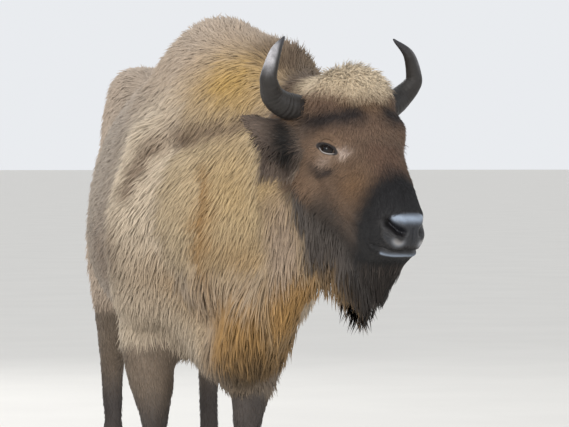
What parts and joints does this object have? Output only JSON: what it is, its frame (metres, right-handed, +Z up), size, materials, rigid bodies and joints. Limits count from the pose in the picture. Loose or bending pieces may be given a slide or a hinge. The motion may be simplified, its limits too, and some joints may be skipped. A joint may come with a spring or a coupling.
{
  "type": "wisent model",
  "caption": "Life-size standing wisent, a humped, horned wild ox in winter coat, its head turned to its left, a still museum model on four cloven feet.",
  "frame": {"origin": "on the floor, under the middle of the whole model's box", "axes": "+Z up; the body faces -Y; the animal's left side is +X"},
  "size_m": [0.8298, 2.353, 1.5456],
  "materials": {
    "coat": "dense woolly winter coat, buff to golden ochre",
    "face_coat": "short dark brown hair",
    "beard_hair": "long black-brown hair",
    "leg_coat": "short grey-brown hair",
    "horn": "dark grey horn, satin, paler on its upper side",
    "hoof": "dark hoof horn",
    "eye": "wet gloss"
  },
  "bodies": {
    "root": {"barrel": "coat", "beard": "beard_hair", "brisket": "coat", "dewclaw_front_left_inner": "hoof", "dewclaw_front_left_outer": "hoof", "dewclaw_front_right_inner": "hoof", "dewclaw_front_right_outer": "hoof", "dewclaw_hind_left_inner": "hoof", "dewclaw_hind_left_outer": "hoof", "dewclaw_hind_right_inner": "hoof", "dewclaw_hind_right_outer": "hoof", "ear_left": "face_coat", "ear_right": "face_coat", "eye_left": "eye", "eye_right": "eye", "head": "face_coat", "hoof_front_left_inner": "hoof", "hoof_front_left_outer": "hoof", "hoof_front_right_inner": "hoof", "hoof_front_right_outer": "hoof", "hoof_hind_left_inner": "hoof", "hoof_hind_left_outer": "hoof", "hoof_hind_right_inner": "hoof", "hoof_hind_right_outer": "hoof", "horn_left": "horn", "horn_right": "horn", "leg_front_left": "leg_coat", "leg_front_right": "leg_coat", "leg_hind_left": "leg_coat", "leg_hind_right": "leg_coat", "neck": "coat", "rump": "coat", "shoulders": "coat", "tail": "coat", "tail_switch": "beard_hair"}
  },
  "joints": []
}
